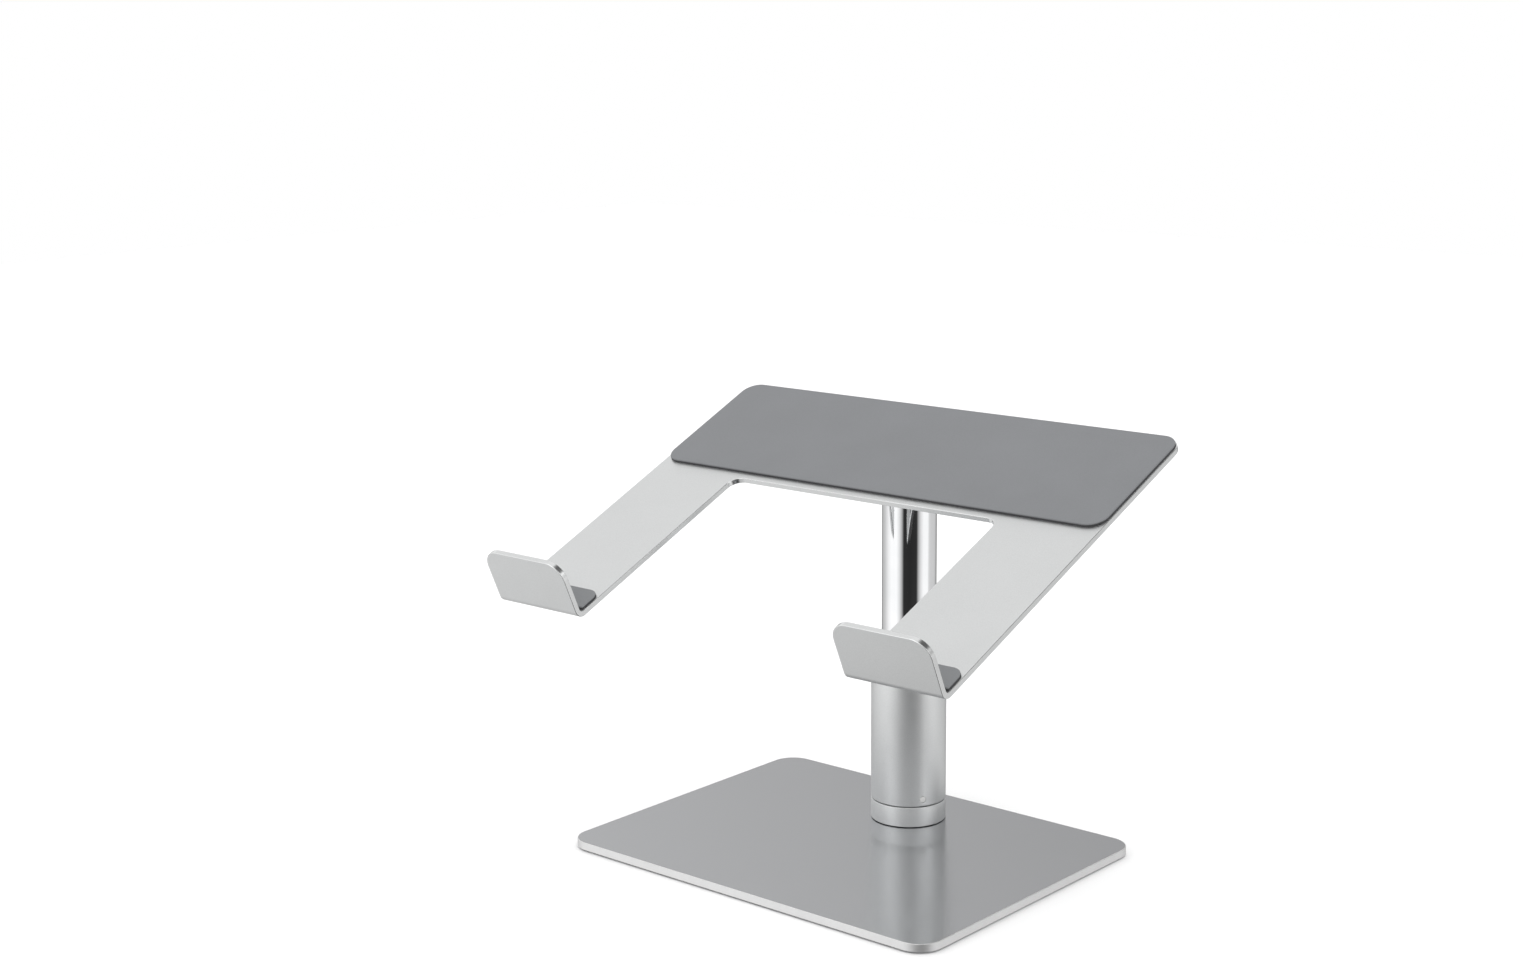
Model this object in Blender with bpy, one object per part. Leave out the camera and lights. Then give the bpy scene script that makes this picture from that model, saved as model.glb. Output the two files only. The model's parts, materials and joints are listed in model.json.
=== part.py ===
"""Height-adjustable swivelling laptop stand.

A heavy base plate carries a round aluminium column near its rear edge. The column turns on a
fixed collar. A chrome tube slides in the column and holds a U-shaped tray, bent from one sheet,
whose two arms end in upturned lips.

Units are metres, +Z is up, -Y is the side the user sits on, and the origin is on the desk under
the middle of the base plate.
"""

import math

import bmesh
import bpy
from mathutils import Matrix, Vector

MM = 0.001
GAP = 0.3 * MM

# Base
BASE_WIDTH = 234 * MM
BASE_DEPTH = 181.6 * MM
BASE_CORNER = 13 * MM
BASE_THICKNESS = 4.2 * MM
MAT_THICKNESS = 0.5 * MM
MAT_INSET = 3 * MM
BASE_BOTTOM = MAT_THICKNESS + GAP
BASE_TOP = BASE_BOTTOM + BASE_THICKNESS

# Column and collar
AXIS_Y = 50.3 * MM
COLUMN_RADIUS = 20 * MM
COLUMN_BORE = 17 * MM
COLLAR_BOTTOM = BASE_TOP + GAP
COLLAR_TOP = 16 * MM
COLUMN_BOTTOM = COLLAR_TOP + 0.5 * MM
COLUMN_TOP = 103 * MM
COLLAR_SCREW_CIRCLE = 13.5 * MM
SPINDLE_RADIUS = 5 * MM
SPINDLE_TOP = 33 * MM
FLOOR_HEIGHT = 8 * MM
DOT_RADIUS = 1.6 * MM
DOT_HEIGHT = 20.3 * MM
DOT_ANGLE = math.radians(60)

# Sliding tube
TUBE_RADIUS = 14.4 * MM
TUBE_BORE = 12.6 * MM
TUBE_BOTTOM = 74 * MM
TUBE_TOP = 189.7 * MM
GUIDE_LENGTH = 14 * MM
BUSH_BOTTOM = 97 * MM
WIPER_BOTTOM = COLUMN_TOP - 1.3 * MM

# Tray sheet, in its own frame: X across, Y up the slope from the lips' front face, Z off the sheet
TRAY_TILT = math.radians(23.62)
TRAY_FRONT_Y = -110.3 * MM
TRAY_FRONT_Z = 134 * MM
SHEET = 3 * MM
TRAY_HALF_WIDTH = 141.2 * MM
TRAY_LENGTH = 216.2 * MM
TRAY_CORNER = 10 * MM
ARM_INNER = 85.7 * MM
CUT_LENGTH = 130.4 * MM
CUT_CORNER = 7 * MM
LIP_HEIGHT = 30.3 * MM
LIP_CORNER = 10 * MM
BEND_RADIUS = 2 * MM
BEND_STEPS = 6

# Pads on the tray
PAD_THICKNESS = 1.5 * MM
REAR_PAD_FRONT = 135 * MM
REAR_PAD_BACK = 215.6 * MM
REAR_PAD_HALF_WIDTH = 140.6 * MM
REAR_PAD_CORNER = 9.5 * MM
HOOK_PAD_BACK = 19.3 * MM
HOOK_PAD_INSET = 0.6 * MM
HOOK_PAD_CORNER = 6 * MM

# Bracket between tube and tray
BRACKET_BOTTOM = 184 * MM
BRACKET_RADIUS = 20 * MM
FLANGE_THICKNESS = 5 * MM
FLANGE_SIZE = (84 * MM, 60 * MM)
TRAY_SCREW_SPACING = (30 * MM, 20 * MM)

# Countersunk screws
SCREW_SHANK = 2 * MM
SCREW_HEAD = 4 * MM
SCREW_HEAD_HEIGHT = 2.2 * MM
SCREW_SOCKET = 1.25 * MM
SCREW_SUNK = 0.25 * MM
TRAY_SCREW_LENGTH = 7.7 * MM
HUB_SCREW_LENGTH = 10 * MM

ROUND = 64
SMALL_ROUND = 20
SMOOTH_ANGLE = math.radians(35)


def clear_scene():
    for item in list(bpy.data.objects):
        bpy.data.objects.remove(item, do_unlink=True)


def make_material(name, colour, roughness, metallic):
    material = bpy.data.materials.new(name)
    material.use_nodes = True
    shader = material.node_tree.nodes["Principled BSDF"]
    shader.inputs["Base Color"].default_value = (*colour, 1.0)
    shader.inputs["Roughness"].default_value = roughness
    shader.inputs["Metallic"].default_value = metallic
    return material


def make_materials():
    return {
        "base": make_material("satin_plate", (0.55, 0.56, 0.58), 0.35, 1.0),
        "aluminium": make_material("satin_aluminium", (0.72, 0.73, 0.74), 0.3, 1.0),
        "tray": make_material("blasted_aluminium", (0.80, 0.81, 0.81), 0.42, 1.0),
        "chrome": make_material("chrome", (0.9, 0.9, 0.91), 0.05, 1.0),
        "pad": make_material("grey_silicone", (0.28, 0.29, 0.30), 0.7, 0.0),
        "mat": make_material("black_silicone", (0.03, 0.03, 0.03), 0.8, 0.0),
        "steel": make_material("dark_steel", (0.35, 0.35, 0.36), 0.35, 1.0),
        "polymer": make_material("black_polymer", (0.04, 0.04, 0.04), 0.5, 0.0),
        "glide": make_material("white_polymer", (0.8, 0.8, 0.78), 0.5, 0.0),
    }


def make_empty(name, location, parent=None, tilt=0.0):
    empty = bpy.data.objects.new(name, None)
    bpy.context.scene.collection.objects.link(empty)
    empty.location = location
    empty.rotation_euler = (tilt, 0, 0)
    empty.parent = parent
    return empty


def make_object(name, shape, material, parent=None, location=(0, 0, 0), smooth=False):
    """Turn a bmesh into a named object, optionally shaded smooth below SMOOTH_ANGLE."""
    bmesh.ops.recalc_face_normals(shape, faces=shape.faces[:])
    mesh = bpy.data.meshes.new(name)
    shape.to_mesh(mesh)
    shape.free()
    if smooth:
        mesh.shade_smooth()
        mesh.set_sharp_from_angle(angle=SMOOTH_ANGLE)
    piece = bpy.data.objects.new(name, mesh)
    bpy.context.scene.collection.objects.link(piece)
    piece.location = location
    piece.parent = parent
    if material is not None:
        mesh.materials.append(material)
    return piece


def bevel(piece, width, segments=1):
    modifier = piece.modifiers.new("edge_bevel", "BEVEL")
    modifier.width = width
    modifier.segments = segments
    modifier.limit_method = "ANGLE"
    modifier.angle_limit = math.radians(50)


def boolean(piece, other, operation="DIFFERENCE"):
    modifier = piece.modifiers.new(other.name, "BOOLEAN")
    modifier.operation = operation
    modifier.solver = "EXACT"
    modifier.object = other


def as_helper(piece):
    piece.hide_render = True
    piece.display_type = "WIRE"
    return piece


def arc(centre, radius, start_degrees, end_degrees, steps=7):
    """Points along an arc, ends included; a falling angle runs clockwise."""
    points = []
    for step in range(steps + 1):
        angle = math.radians(start_degrees + (end_degrees - start_degrees) * step / steps)
        points.append((centre[0] + radius * math.cos(angle), centre[1] + radius * math.sin(angle)))
    return points


def rounded_rectangle(x_range, y_range, radii):
    """Outline, anticlockwise, with radii for the corners (-x,-y), (+x,-y), (+x,+y), (-x,+y)."""
    corners = ((0, 0, 180), (1, 0, 270), (1, 1, 0), (0, 1, 90))
    points = []
    for (right, top, start), radius in zip(corners, radii):
        x = x_range[right] + (radius if right == 0 else -radius)
        y = y_range[top] + (radius if top == 0 else -radius)
        points += arc((x, y), radius, start, start + 90)
    return points


def extrude_outline(points, bottom, top):
    """Closed prism over an outline in XY."""
    shape = bmesh.new()
    corners = [shape.verts.new((x, y, bottom)) for x, y in points]
    face = shape.faces.new(corners)
    raised = bmesh.ops.extrude_face_region(shape, geom=[face])
    lifted = [item for item in raised["geom"] if isinstance(item, bmesh.types.BMVert)]
    bmesh.ops.translate(shape, verts=lifted, vec=(0, 0, top - bottom))
    return shape


def lathe(profile, segments=ROUND):
    """Turned solid about Z from a closed profile of (radius, height) points."""
    shape = bmesh.new()
    corners = [shape.verts.new((radius, 0, height)) for radius, height in profile]
    edges = [shape.edges.new((corners[i - 1], corners[i])) for i in range(len(corners))]
    bmesh.ops.spin(shape, geom=corners + edges, cent=(0, 0, 0), axis=(0, 0, 1),
                   angle=math.tau, steps=segments, use_merge=True)
    bmesh.ops.remove_doubles(shape, verts=shape.verts[:], dist=1e-7)
    bmesh.ops.dissolve_degenerate(shape, dist=1e-7, edges=shape.edges[:])
    return shape


def ring(inner, outer, bottom, top, segments=ROUND):
    """Plain turned ring."""
    return lathe([(inner, bottom), (outer, bottom), (outer, top), (inner, top)], segments)


def transform(shape, matrix):
    bmesh.ops.transform(shape, matrix=matrix, verts=shape.verts[:])
    return shape


def merge_shapes(shapes):
    """Join several bmeshes into one, for a cutter with separate bodies."""
    joined = bmesh.new()
    for shape in shapes:
        scrap = bpy.data.meshes.new("scrap")
        bmesh.ops.recalc_face_normals(shape, faces=shape.faces[:])
        shape.to_mesh(scrap)
        shape.free()
        joined.from_mesh(scrap)
        bpy.data.meshes.remove(scrap)
    return joined


def screw_shape(length):
    """Countersunk socket screw hanging below Z = 0, its head's face on Z = 0."""
    socket_depth = SCREW_HEAD_HEIGHT * 0.75
    tip = 0.4 * MM
    rim = 0.3 * MM
    profile = [
        (0, -socket_depth), (SCREW_SOCKET, -socket_depth), (SCREW_SOCKET, 0), (SCREW_HEAD, 0),
        (SCREW_HEAD, -rim), (SCREW_SHANK, -SCREW_HEAD_HEIGHT), (SCREW_SHANK, tip - length),
        (SCREW_SHANK - tip, -length), (0, -length),
    ]
    return lathe(profile, SMALL_ROUND)


def screw_hole_shape(length):
    """Cutter for a countersunk hole: the screw's outline with clearance all round."""
    over = 1 * MM
    shank = SCREW_SHANK + GAP
    head = SCREW_HEAD + GAP
    rim = 0.5 * MM
    profile = [
        (0, over), (head, over), (head, -rim), (shank, -SCREW_HEAD_HEIGHT - GAP),
        (shank, -length - GAP), (0, -length - GAP),
    ]
    return lathe(profile, SMALL_ROUND)


def collar_screw_places():
    """Three places on a circle about the column's axis."""
    for index in range(3):
        angle = math.radians(90 + 120 * index)
        yield (COLLAR_SCREW_CIRCLE * math.cos(angle), COLLAR_SCREW_CIRCLE * math.sin(angle))


def tray_screw_places():
    """Four places on the tray about the column's axis, in the tray's frame."""
    centre = tray_axis_length()
    for across in (-1, 1):
        for along in (-1, 1):
            yield (across * TRAY_SCREW_SPACING[0], centre + along * TRAY_SCREW_SPACING[1])


def tray_axis_length():
    """Distance up the slope from the lips to where the column's axis meets the sheet."""
    return (AXIS_Y - TRAY_FRONT_Y) / math.cos(TRAY_TILT)


def build_base(materials, base, fixed_axis):
    half_width = BASE_WIDTH / 2
    half_depth = BASE_DEPTH / 2
    outline = rounded_rectangle((-half_width, half_width), (-half_depth, half_depth), [BASE_CORNER] * 4)
    plate = make_object("base_plate", extrude_outline(outline, BASE_BOTTOM, BASE_TOP),
                        materials["base"], base)
    bevel(plate, 0.35 * MM)
    holes = []
    screw_face = BASE_BOTTOM + SCREW_SUNK
    upside_down = Matrix.Rotation(math.pi, 4, "X")
    for x, y in collar_screw_places():
        place = Matrix.Translation((x, y, screw_face)) @ upside_down
        holes.append(transform(screw_hole_shape(HUB_SCREW_LENGTH), place))
    cutter = as_helper(make_object("collar_screw_holes", merge_shapes(holes), None, fixed_axis))
    boolean(plate, cutter)

    half_width -= MAT_INSET
    half_depth -= MAT_INSET
    outline = rounded_rectangle((-half_width, half_width), (-half_depth, half_depth),
                                [BASE_CORNER - MAT_INSET] * 4)
    mat = make_object("base_mat", extrude_outline(outline, 0, MAT_THICKNESS), materials["mat"], base)
    bevel(mat, 0.2 * MM)
    return cutter


def build_collar(materials, fixed_axis, screw_holes):
    bore = SPINDLE_RADIUS + GAP
    head_pocket = 9.5 * MM
    pocket_top = 7.7 * MM
    washer_pocket = 17.6 * MM
    washer_seat = COLLAR_TOP - 0.9 * MM
    chamfer = 0.3 * MM
    profile = [
        (head_pocket, COLLAR_BOTTOM), (COLUMN_RADIUS - chamfer, COLLAR_BOTTOM),
        (COLUMN_RADIUS, COLLAR_BOTTOM + chamfer), (COLUMN_RADIUS, COLLAR_TOP - chamfer),
        (COLUMN_RADIUS - chamfer, COLLAR_TOP), (washer_pocket, COLLAR_TOP),
        (washer_pocket, washer_seat), (bore, washer_seat), (bore, pocket_top), (head_pocket, pocket_top),
    ]
    collar = make_object("collar", lathe(profile), materials["aluminium"], fixed_axis, smooth=True)
    boolean(collar, screw_holes)

    head_bottom = COLLAR_BOTTOM
    head_top = pocket_top - GAP
    head_radius = head_pocket - GAP
    tip = 0.8 * MM
    profile = [
        (0, head_bottom), (head_radius, head_bottom), (head_radius, head_top),
        (SPINDLE_RADIUS, head_top), (SPINDLE_RADIUS, SPINDLE_TOP - tip),
        (SPINDLE_RADIUS - tip, SPINDLE_TOP), (0, SPINDLE_TOP),
    ]
    make_object("spindle", lathe(profile, SMALL_ROUND), materials["steel"], fixed_axis, smooth=True)

    washer = ring(SPINDLE_RADIUS + 2 * GAP, washer_pocket - GAP, washer_seat + GAP, COLLAR_TOP + GAP)
    make_object("glide_washer", washer, materials["glide"], fixed_axis, smooth=True)

    for index, (x, y) in enumerate(collar_screw_places(), 1):
        screw = make_object(f"collar_screw_{index}", screw_shape(HUB_SCREW_LENGTH), materials["steel"],
                            fixed_axis, (x, y, BASE_BOTTOM + SCREW_SUNK), smooth=True)
        screw.rotation_euler = (math.pi, 0, 0)


def build_spindle_fastening(materials, fixed_axis):
    floor_top = COLUMN_BOTTOM + 0.1 * MM + FLOOR_HEIGHT
    bore = SPINDLE_RADIUS + GAP
    washer_bottom = floor_top + GAP
    washer_top = washer_bottom + 1 * MM
    washer = ring(bore, 9 * MM, washer_bottom, washer_top, SMALL_ROUND)
    make_object("spindle_washer", washer, materials["steel"], fixed_axis, smooth=True)

    nut_bottom = washer_top + GAP
    nut_top = nut_bottom + 5 * MM
    corner_radius = 7.5 * MM / math.cos(math.radians(30))
    hexagon = arc((0, 0), corner_radius, 0, 300, 5)
    nut = make_object("spindle_nut", extrude_outline(hexagon, nut_bottom, nut_top),
                      materials["steel"], fixed_axis)
    over = 1 * MM
    hole = lathe([(0, nut_bottom - over), (bore, nut_bottom - over), (bore, nut_top + over),
                  (0, nut_top + over)], SMALL_ROUND)
    boolean(nut, as_helper(make_object("nut_bore", hole, None, fixed_axis)))


def build_column(materials, swivel):
    chamfer = 0.3 * MM
    mouth = 0.5 * MM
    profile = [
        (COLUMN_BORE, COLUMN_BOTTOM), (COLUMN_RADIUS - chamfer, COLUMN_BOTTOM),
        (COLUMN_RADIUS, COLUMN_BOTTOM + chamfer), (COLUMN_RADIUS, COLUMN_TOP - mouth),
        (COLUMN_RADIUS - mouth, COLUMN_TOP), (COLUMN_BORE + mouth, COLUMN_TOP),
        (COLUMN_BORE, COLUMN_TOP - mouth),
    ]
    column = make_object("column_tube", lathe(profile), materials["aluminium"], swivel, smooth=True)

    dot_depth = 1.2 * MM
    outward = Vector((math.sin(DOT_ANGLE), -math.cos(DOT_ANGLE), 0))
    turn = outward.to_track_quat("Z", "Y").to_matrix().to_4x4()
    seat = COLUMN_RADIUS - dot_depth
    pocket = lathe([(0, seat), (DOT_RADIUS + GAP, seat), (DOT_RADIUS + GAP, COLUMN_RADIUS + dot_depth),
                    (0, COLUMN_RADIUS + dot_depth)], SMALL_ROUND)
    place = Matrix.Translation((0, 0, DOT_HEIGHT)) @ turn
    pocket = make_object("dot_pocket", transform(pocket, place), None, swivel)
    boolean(column, as_helper(pocket))
    edge = 0.15 * MM
    face = COLUMN_RADIUS - edge / 3
    profile = [(0, seat + GAP), (DOT_RADIUS, seat + GAP), (DOT_RADIUS, face - edge),
               (DOT_RADIUS - edge, face), (0, face)]
    make_object("index_dot", transform(lathe(profile, SMALL_ROUND), place), materials["glide"],
                swivel, smooth=True)

    floor_bottom = COLUMN_BOTTOM + 0.1 * MM
    floor = ring(SPINDLE_RADIUS + GAP, COLUMN_BORE - GAP, floor_bottom, floor_bottom + FLOOR_HEIGHT)
    make_object("column_floor", floor, materials["aluminium"], swivel, smooth=True)

    inner = TUBE_RADIUS + GAP
    outer = COLUMN_BORE - GAP
    bush = ring(inner, outer, BUSH_BOTTOM, WIPER_BOTTOM - GAP)
    make_object("column_bush", bush, materials["polymer"], swivel, smooth=True)
    wiper = ring(inner, outer, WIPER_BOTTOM, COLUMN_TOP - 0.2 * MM)
    make_object("wiper_ring", wiper, materials["mat"], swivel, smooth=True)


def build_tube(materials, lift):
    chamfer = 0.4 * MM
    profile = [
        (TUBE_BORE, TUBE_BOTTOM), (TUBE_RADIUS - chamfer, TUBE_BOTTOM),
        (TUBE_RADIUS, TUBE_BOTTOM + chamfer), (TUBE_RADIUS, TUBE_TOP - chamfer),
        (TUBE_RADIUS - chamfer, TUBE_TOP), (TUBE_BORE, TUBE_TOP),
    ]
    make_object("inner_tube", lathe(profile), materials["chrome"], lift, smooth=True)
    guide_bottom = TUBE_BOTTOM + GAP
    guide = ring(TUBE_RADIUS + GAP, COLUMN_BORE - GAP, guide_bottom, guide_bottom + GUIDE_LENGTH)
    make_object("tube_guide", guide, materials["polymer"], lift, smooth=True)


def tray_screw_cutter(tray):
    holes = [
        transform(screw_hole_shape(TRAY_SCREW_LENGTH + 2 * MM), Matrix.Translation((x, y, -SCREW_SUNK)))
        for x, y in tray_screw_places()
    ]
    return as_helper(make_object("tray_screw_holes", merge_shapes(holes), None, tray))


def build_bracket(materials, lift, tray, screw_holes):
    """Hub with a sloping top, joined to a flange that lies under the tray."""
    hub_height = 30 * MM
    chamfer = 0.6 * MM
    profile = [
        (0, BRACKET_BOTTOM), (BRACKET_RADIUS - chamfer, BRACKET_BOTTOM),
        (BRACKET_RADIUS, BRACKET_BOTTOM + chamfer), (BRACKET_RADIUS, BRACKET_BOTTOM + hub_height),
        (0, BRACKET_BOTTOM + hub_height),
    ]
    hub = lathe(profile)
    normal = Vector((0, -math.sin(TRAY_TILT), math.cos(TRAY_TILT)))
    sheet_on_axis = TRAY_FRONT_Z + (AXIS_Y - TRAY_FRONT_Y) * math.tan(TRAY_TILT)
    flange_top = Vector((0, 0, sheet_on_axis)) - normal * (SHEET + GAP)
    hub_cut = flange_top - normal * (FLANGE_THICKNESS / 2)
    bmesh.ops.bisect_plane(hub, geom=hub.verts[:] + hub.edges[:] + hub.faces[:],
                           plane_co=hub_cut, plane_no=normal, clear_outer=True)
    rim = [edge for edge in hub.edges if edge.is_boundary]
    bmesh.ops.contextual_create(hub, geom=rim)
    bracket = make_object("tray_bracket", hub, materials["aluminium"], lift, smooth=True)

    centre = tray_axis_length()
    half_width = FLANGE_SIZE[0] / 2
    half_length = FLANGE_SIZE[1] / 2
    outline = rounded_rectangle((-half_width, half_width), (centre - half_length, centre + half_length),
                                [8 * MM] * 4)
    top = -SHEET - GAP
    flange = make_object("flange", extrude_outline(outline, top - FLANGE_THICKNESS, top), None, tray)
    boolean(bracket, as_helper(flange), "UNION")

    socket_top = TUBE_TOP + GAP
    socket_bottom = BRACKET_BOTTOM - 1 * MM
    radius = TUBE_RADIUS + GAP
    socket = lathe([(0, socket_bottom), (radius, socket_bottom), (radius, socket_top), (0, socket_top)])
    boolean(bracket, as_helper(make_object("tube_socket", socket, None, lift)))
    boolean(bracket, screw_holes)


def tray_outline(lip_top):
    """Flat pattern of the U-shaped sheet: X across, Y along, the lips reaching down to lip_top."""
    outline = []
    outline += arc((-TRAY_HALF_WIDTH + LIP_CORNER, lip_top + LIP_CORNER), LIP_CORNER, 180, 270)
    outline += arc((-ARM_INNER - LIP_CORNER, lip_top + LIP_CORNER), LIP_CORNER, 270, 360)
    outline += arc((-ARM_INNER + CUT_CORNER, CUT_LENGTH - CUT_CORNER), CUT_CORNER, 180, 90)
    outline += arc((ARM_INNER - CUT_CORNER, CUT_LENGTH - CUT_CORNER), CUT_CORNER, 90, 0)
    outline += arc((ARM_INNER + LIP_CORNER, lip_top + LIP_CORNER), LIP_CORNER, 180, 270)
    outline += arc((TRAY_HALF_WIDTH - LIP_CORNER, lip_top + LIP_CORNER), LIP_CORNER, 270, 360)
    outline += arc((TRAY_HALF_WIDTH - TRAY_CORNER, TRAY_LENGTH - TRAY_CORNER), TRAY_CORNER, 0, 90)
    outline += arc((-TRAY_HALF_WIDTH + TRAY_CORNER, TRAY_LENGTH - TRAY_CORNER), TRAY_CORNER, 90, 180)
    return outline


def fold(point, bend_start, bend_length):
    """Place a point of the flat sheet on the folded sheet: flat, around the bend, or up the lip."""
    radius = BEND_RADIUS - point.z
    past_start = bend_start - point.y
    if past_start <= 0:
        return point.copy()
    angle = min(past_start / bend_length, 1) * math.pi / 2
    along = bend_start - radius * math.sin(angle)
    height = BEND_RADIUS - radius * math.cos(angle) + max(past_start - bend_length, 0)
    return Vector((point.x, along, height))


def build_tray(materials, tray, screw_holes):
    bend_start = SHEET + BEND_RADIUS
    bend_length = (BEND_RADIUS + SHEET / 2) * math.pi / 2
    lip_top = bend_start - bend_length - (LIP_HEIGHT - BEND_RADIUS)
    sheet = extrude_outline(tray_outline(lip_top), -SHEET, 0)
    for step in range(BEND_STEPS + 1):
        cut = bend_start - bend_length * step / BEND_STEPS
        bmesh.ops.bisect_plane(sheet, geom=sheet.verts[:] + sheet.edges[:] + sheet.faces[:],
                               plane_co=(0, cut, 0), plane_no=(0, 1, 0))
    for vertex in sheet.verts:
        vertex.co = fold(vertex.co, bend_start, bend_length)
    plate = make_object("tray_plate", sheet, materials["tray"], tray)
    bevel(plate, 0.3 * MM)
    boolean(plate, screw_holes)

    for index, (x, y) in enumerate(tray_screw_places(), 1):
        make_object(f"tray_screw_{index}", screw_shape(TRAY_SCREW_LENGTH), materials["steel"],
                    tray, (x, y, -SCREW_SUNK), smooth=True)


def build_pads(materials, tray):
    bottom = GAP
    top = GAP + PAD_THICKNESS
    edge = 0.35 * MM
    outline = rounded_rectangle((-REAR_PAD_HALF_WIDTH, REAR_PAD_HALF_WIDTH),
                                (REAR_PAD_FRONT, REAR_PAD_BACK), [REAR_PAD_CORNER] * 4)
    pad = make_object("rear_pad", extrude_outline(outline, bottom, top), materials["pad"], tray)
    bevel(pad, edge)

    front = SHEET + BEND_RADIUS
    front_corner = 1 * MM
    inner = ARM_INNER + HOOK_PAD_INSET
    outer = TRAY_HALF_WIDTH - HOOK_PAD_INSET
    radii = [front_corner, front_corner, HOOK_PAD_CORNER, HOOK_PAD_CORNER]
    for name, x_range in (("hook_pad_left", (-outer, -inner)), ("hook_pad_right", (inner, outer))):
        outline = rounded_rectangle(x_range, (front, HOOK_PAD_BACK), radii)
        pad = make_object(name, extrude_outline(outline, bottom, top), materials["pad"], tray)
        bevel(pad, edge)


def main():
    clear_scene()
    materials = make_materials()
    base = make_empty("base_frame", (0, 0, 0))
    fixed_axis = make_empty("fixed_axis", (0, AXIS_Y, 0), base)
    swivel = make_empty("swivel_axis", (0, AXIS_Y, 0), base)
    lift = make_empty("lift_axis", (0, 0, 0), swivel)
    tray = make_empty("tray_frame", (0, TRAY_FRONT_Y - AXIS_Y, TRAY_FRONT_Z), lift, TRAY_TILT)

    collar_screw_holes = build_base(materials, base, fixed_axis)
    build_collar(materials, fixed_axis, collar_screw_holes)
    build_spindle_fastening(materials, fixed_axis)
    build_column(materials, swivel)
    build_tube(materials, lift)
    tray_screw_holes = tray_screw_cutter(tray)
    build_bracket(materials, lift, tray, tray_screw_holes)
    build_tray(materials, tray, tray_screw_holes)
    build_pads(materials, tray)


main()
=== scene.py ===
"""Looks for the laptop stand: satin aluminium, chrome and grey silicone on a pale studio floor."""

import json
import math

import bmesh
import bpy
from mathutils import Matrix, Vector


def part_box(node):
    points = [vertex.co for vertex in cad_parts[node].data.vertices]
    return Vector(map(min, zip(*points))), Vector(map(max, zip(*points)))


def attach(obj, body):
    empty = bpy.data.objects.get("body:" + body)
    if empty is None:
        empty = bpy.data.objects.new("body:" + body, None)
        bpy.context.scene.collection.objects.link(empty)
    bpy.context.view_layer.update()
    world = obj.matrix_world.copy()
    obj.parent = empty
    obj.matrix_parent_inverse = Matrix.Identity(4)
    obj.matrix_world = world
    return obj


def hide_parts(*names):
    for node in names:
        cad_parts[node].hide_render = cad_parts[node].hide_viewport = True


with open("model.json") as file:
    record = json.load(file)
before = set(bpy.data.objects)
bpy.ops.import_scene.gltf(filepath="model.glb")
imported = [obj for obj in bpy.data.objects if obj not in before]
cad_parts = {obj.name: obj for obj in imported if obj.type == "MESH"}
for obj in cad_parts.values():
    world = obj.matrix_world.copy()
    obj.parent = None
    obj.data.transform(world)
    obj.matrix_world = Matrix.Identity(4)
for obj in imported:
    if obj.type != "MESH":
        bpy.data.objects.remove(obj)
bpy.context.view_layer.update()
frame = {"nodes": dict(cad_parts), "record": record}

MM = 0.001

# Fineness of the meshes
SMOOTH_ANGLE = math.radians(35)
ROUNDED_EDGE_ANGLE = math.radians(50)
TURNED_STEPS = 192
DOT_STEPS = 48
BEND_STEPS = 12

# Base and tray: what the frame's boxes don't give
BASE_CORNER = 13 * MM
BASE_EDGE = 0.35 * MM
TRAY_CORNER = 10 * MM
CUT_CORNER = 7 * MM
LIP_CORNER = 10 * MM
BEND_RADIUS = 2 * MM
TRAY_EDGE = 0.4 * MM
ARM_WIDTH = 55.5 * MM
CUT_TO_PAD = 4.6 * MM
LIP_STOP_HEIGHT = 15 * MM

# Pads; the seat is the hair's breadth between a pad and the sheet
REAR_PAD_CORNERS = [9.5 * MM] * 4
HOOK_PAD_CORNERS = [1 * MM, 1 * MM, 6 * MM, 6 * MM]
PAD_EDGE = 0.6 * MM
PAD_EDGE_SEGMENTS = 4
PAD_SEAT = 0.02 * MM

# Collar, column, sliding tube and index dot
COLLAR_BORE = 5 * MM
COLLAR_EDGE = 0.35 * MM
BUSH_GAP = 0.3 * MM
COLUMN_MOUTH = 0.5 * MM
TUBE_WALL = 1.8 * MM
TUBE_EDGE = 0.4 * MM
DOT_ANGLE = math.radians(60)
DOT_DEPTH = 0.8 * MM
DOT_GAP = 0.2 * MM
DOT_EDGE = 0.1 * MM

# Bracket; the hub's blank is turned longer than needed and cut off along the flange
FLANGE_THICKNESS = 5 * MM
FLANGE_CORNER = 8 * MM
FLANGE_EDGE = 0.6 * MM
FLANGE_EDGE_SEGMENTS = 4
HUB_BORE = 14.7 * MM
HUB_EDGE = 0.8 * MM
HUB_SPARE_LENGTH = 20 * MM

# Colours
BASE_COLOUR = (0.505, 0.512, 0.525)
BASE_EDGE_COLOUR = (0.88, 0.88, 0.88)
SATIN_COLOUR = (0.80, 0.81, 0.81)
TRAY_EDGE_COLOUR = (0.85, 0.86, 0.86)
CHROME_COLOURS = ((0.86, 0.87, 0.88), (0.93, 0.93, 0.94))
ZINC_COLOUR = (0.45, 0.45, 0.46)
REAR_PAD_COLOUR = (0.176, 0.181, 0.189)
# Painted light: the hook pads' grey is a little lighter than the rear pad's, to make up for the shade the
# lips cast on them
HOOK_PAD_LIT_COLOUR = (0.182, 0.188, 0.194)
# Painted shade: the pads' side faces get a far darker grey than their tops
PAD_SIDE_SHADE_COLOUR = (0.045, 0.045, 0.048)
MAT_COLOUR = (0.03, 0.03, 0.03)
POLYMER_COLOUR = (0.02, 0.02, 0.021)
GLIDE_COLOUR = (0.68, 0.68, 0.67)
FLOOR_COLOURS = ((0.90, 0.90, 0.90), (0.92, 0.92, 0.92))

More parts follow.
